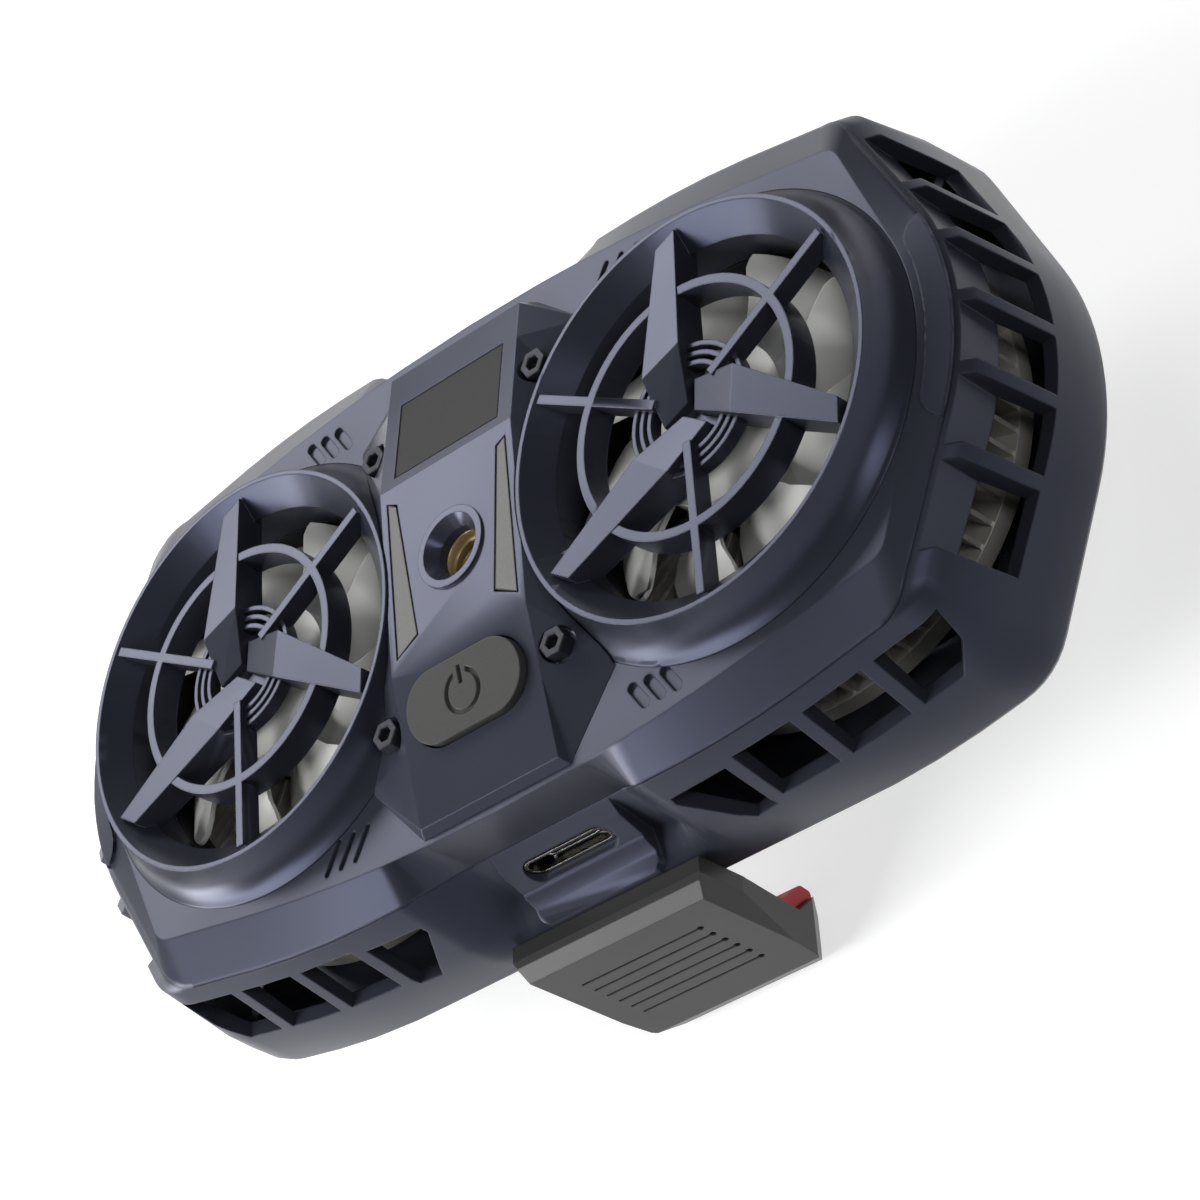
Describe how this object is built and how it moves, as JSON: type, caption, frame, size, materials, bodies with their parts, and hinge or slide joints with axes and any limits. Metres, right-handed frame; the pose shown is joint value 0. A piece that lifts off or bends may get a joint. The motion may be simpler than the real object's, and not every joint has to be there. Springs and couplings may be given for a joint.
{
  "type": "phone cooling fan",
  "caption": "Phone cooler with fans behind round guards, a control panel, heat sinks over a cold plate and a sprung phone clamp.",
  "frame": {"origin": "middle of the cold plate's outer face, where the back of the phone lies", "axes": "+X from one fan centre to the other, with the charging inlet facing -Y; +Y across the phone towards the display end of the panel; +Z from the phone out through the fans"},
  "size_m": [0.153, 0.092, 0.051],
  "materials": {
    "cover_plastic": "satin moulded plastic, blue-grey",
    "housing_plastic": "satin moulded plastic, dark blue-grey",
    "guard_plastic": "satin moulded plastic, dark blue-grey",
    "panel_plastic": "satin moulded plastic, blue-grey",
    "clamp_plastic": "fine matte moulded plastic, neutral grey",
    "button_plastic": "smooth moulded plastic",
    "display_lens": "tinted acrylic window",
    "light_diffuser": "milky translucent plastic",
    "blade_plastic": "pale translucent plastic",
    "frame_plastic": "black moulded plastic",
    "gear_plastic": "natural acetal",
    "rack_plastic": "dark moulded plastic",
    "pad_rubber": "soft red silicone",
    "fin_metal": "anodised, dark grey",
    "plate_metal": "fine brushed",
    "brass": "turned",
    "steel": "plated",
    "black_steel": "black oxide",
    "winding": "enamelled copper and laminated steel",
    "ceramic": null,
    "board": "solder mask",
    "dark_electronics": "moulded component bodies"
  },
  "bodies": {
    "cooler": {"front_cover": "cover_plastic", "rear_housing": "housing_plastic", "rear_cover": "housing_plastic", "left_guard": "guard_plastic", "right_guard": "guard_plastic", "control_panel": "panel_plastic", "display_window": "display_lens", "display_module": "dark_electronics", "tact_switch": "dark_electronics", "left_light_bar": "light_diffuser", "right_light_bar": "light_diffuser", "tripod_insert": "brass", "panel_bolts": "black_steel", "panel_board": "board", "left_bearing": "brass", "right_bearing": "brass", "left_stator": "winding", "right_stator": "winding", "left_fan_frame": "frame_plastic", "right_fan_frame": "frame_plastic", "left_heat_sink": "fin_metal", "right_heat_sink": "fin_metal", "left_cooling_module": "ceramic", "right_cooling_module": "ceramic", "sink_screws": "steel", "cold_plate": "plate_metal", "main_board": "board", "usb_socket": "steel", "usb_liner": "steel", "pinion_post": "steel", "rack_guide": "frame_plastic", "lower_spring": "steel", "upper_spring": "steel", "cover_screws": "black_steel"},
    "left_fan": {"left_rotor": "blade_plastic", "left_shaft": "steel"},
    "right_fan": {"right_rotor": "blade_plastic", "right_shaft": "steel"},
    "button": {"power_button": "button_plastic"},
    "lower_clamp": {"lower_jaw": "clamp_plastic", "lower_pad": "pad_rubber", "lower_rack": "rack_plastic"},
    "upper_clamp": {"upper_jaw": "clamp_plastic", "upper_pad": "pad_rubber", "upper_rack": "rack_plastic"},
    "clamp_pinion": {"pinion": "gear_plastic"}
  },
  "joints": [
    {"name": "left_fan_spin", "type": "hinge", "parent": "cooler", "child": "left_fan", "pos_m": [-0.038, 0, 0.024], "axis": [0, 0, 1], "continuous": true},
    {"name": "right_fan_spin", "type": "hinge", "parent": "cooler", "child": "right_fan", "pos_m": [0.038, 0, 0.024], "axis": [0, 0, 1], "continuous": true},
    {"name": "button_press", "type": "slide", "parent": "cooler", "child": "button", "axis": [0, 0.1908, -0.9816], "range_m": [0, 0.0005], "stiffness_N_per_m": 800},
    {"name": "lower_jaw_slide", "type": "slide", "parent": "cooler", "child": "lower_clamp", "axis": [0, -1, 0], "range_m": [0, 0.012], "stiffness_N_per_m": 300, "springref_m": -0.02, "deforming": ["lower_spring"]},
    {"name": "upper_jaw_slide", "type": "slide", "parent": "cooler", "child": "upper_clamp", "axis": [0, 1, 0], "range_m": [0, 0.012], "deforming": ["upper_spring"]},
    {"name": "pinion_spin", "type": "hinge", "parent": "cooler", "child": "clamp_pinion", "pos_m": [0, 0, 0.0056], "axis": [0, 0, 1], "range_deg": [0, 144]}
  ],
  "couplings": [
    {"joint": "upper_jaw_slide", "follows": "lower_jaw_slide", "ratio": 1},
    {"joint": "pinion_spin", "follows": "lower_jaw_slide", "rad_per_m": 208.33}
  ]
}
